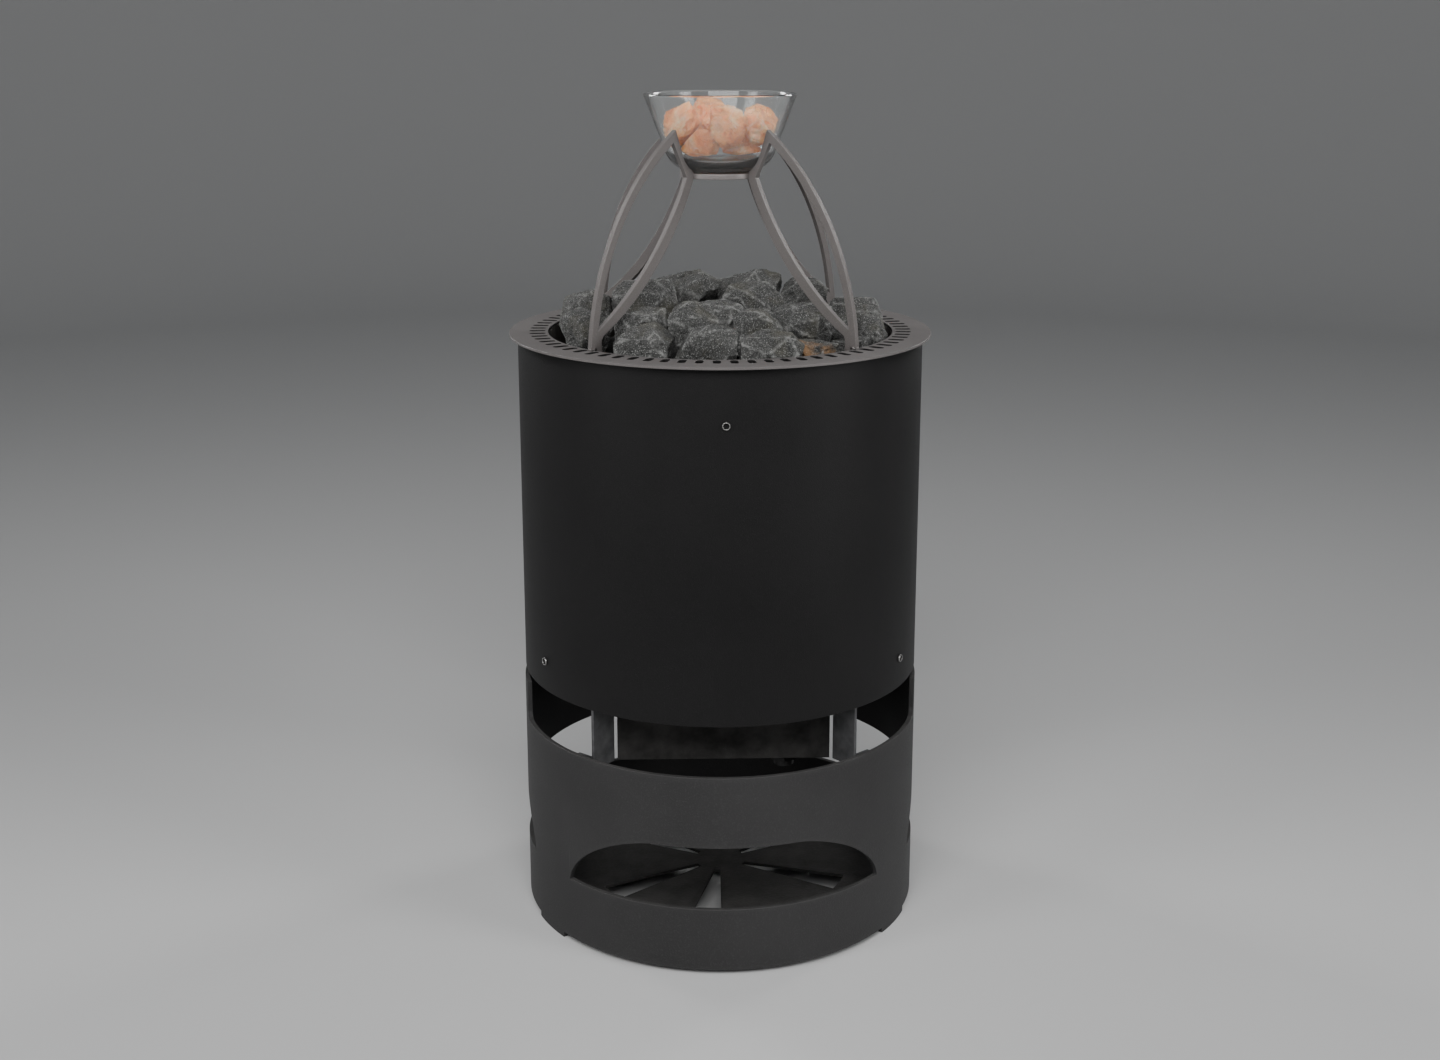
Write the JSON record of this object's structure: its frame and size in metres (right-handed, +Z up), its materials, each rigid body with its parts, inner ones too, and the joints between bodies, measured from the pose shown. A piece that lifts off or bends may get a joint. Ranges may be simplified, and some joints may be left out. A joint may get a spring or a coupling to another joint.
{
  "type": "sauna heater",
  "caption": "Round floor-standing electric sauna heater: vented base tube, drum casing, slotted rim ring, heaped stones and a glass salt bowl on a plate stand.",
  "frame": {"origin": "on the floor under the middle of the drum", "axes": "+Z up along the drum; the front with the service window faces -Y; +X is to the right in the front view"},
  "size_m": [0.4268, 0.4268, 0.8458],
  "materials": {
    "base_coat": "textured dark powder coat",
    "casing_coat": "fine textured dark powder coat",
    "cover_coat": "dark powder coat",
    "rim_coat": "warm grey baked coat",
    "stand_coat": "warm grey baked coat",
    "inner_steel": "zinc-coated sheet",
    "basket_steel": "heat-stained stainless sheet",
    "element_steel": "heat-darkened tube",
    "screw_steel": "bright steel",
    "block_ceramic": "matt ceramic",
    "gland_plastic": "moulded",
    "bowl_glass": "clear polished",
    "sauna_stone": "broken dark grey igneous rock",
    "bed_stone": "broken dark grey igneous rock",
    "rock_salt": "broken translucent pink salt"
  },
  "bodies": {
    "heater": {"base_tube": "base_coat", "star_plate": "inner_steel", "bracket_1": "inner_steel", "bracket_2": "inner_steel", "bracket_3": "inner_steel", "bracket_4": "inner_steel", "heating_element_1": "element_steel", "heating_element_2": "element_steel", "heating_element_3": "element_steel", "carrier_plate": "inner_steel", "terminal_box": "inner_steel", "terminal_cover": "cover_coat", "terminal_block": "block_ceramic", "cable_gland": "gland_plastic", "stone_basket": "basket_steel", "stone_grate": "basket_steel", "heat_shield": "inner_steel", "outer_casing": "casing_coat", "casing_screw_1": "screw_steel", "casing_screw_2": "screw_steel", "casing_screw_3": "screw_steel", "casing_screw_4": "screw_steel", "casing_screw_5": "screw_steel", "casing_screw_6": "screw_steel", "rim_ring": "rim_coat", "stone_01": "sauna_stone", "stone_02": "sauna_stone", "stone_03": "sauna_stone", "stone_04": "sauna_stone", "stone_05": "sauna_stone", "stone_06": "sauna_stone", "stone_07": "sauna_stone", "stone_08": "sauna_stone", "stone_09": "sauna_stone", "stone_10": "sauna_stone", "stone_11": "sauna_stone", "stone_12": "sauna_stone", "stone_13": "sauna_stone", "stone_14": "sauna_stone", "stone_15": "sauna_stone", "stone_16": "sauna_stone", "stone_17": "sauna_stone", "stone_18": "sauna_stone", "stone_19": "sauna_stone", "stone_20": "sauna_stone", "stone_21": "sauna_stone", "stone_22": "sauna_stone", "stone_bed": "bed_stone"},
    "stand": {"stand_leg_1": "stand_coat", "stand_leg_2": "stand_coat", "stand_leg_3": "stand_coat", "stand_leg_4": "stand_coat", "stand_seat_ring": "stand_coat"},
    "bowl": {"glass_bowl": "bowl_glass", "salt_lump_1": "rock_salt", "salt_lump_2": "rock_salt", "salt_lump_3": "rock_salt", "salt_lump_4": "rock_salt", "salt_lump_5": "rock_salt", "salt_lump_6": "rock_salt"}
  },
  "joints": [
    {"name": "stand_lift", "type": "slide", "parent": "heater", "child": "stand", "axis": [0, 0, 1], "range_m": [0, 0.1]},
    {"name": "bowl_lift", "type": "slide", "parent": "stand", "child": "bowl", "axis": [0, 0, 1], "range_m": [0, 0.08]}
  ]
}
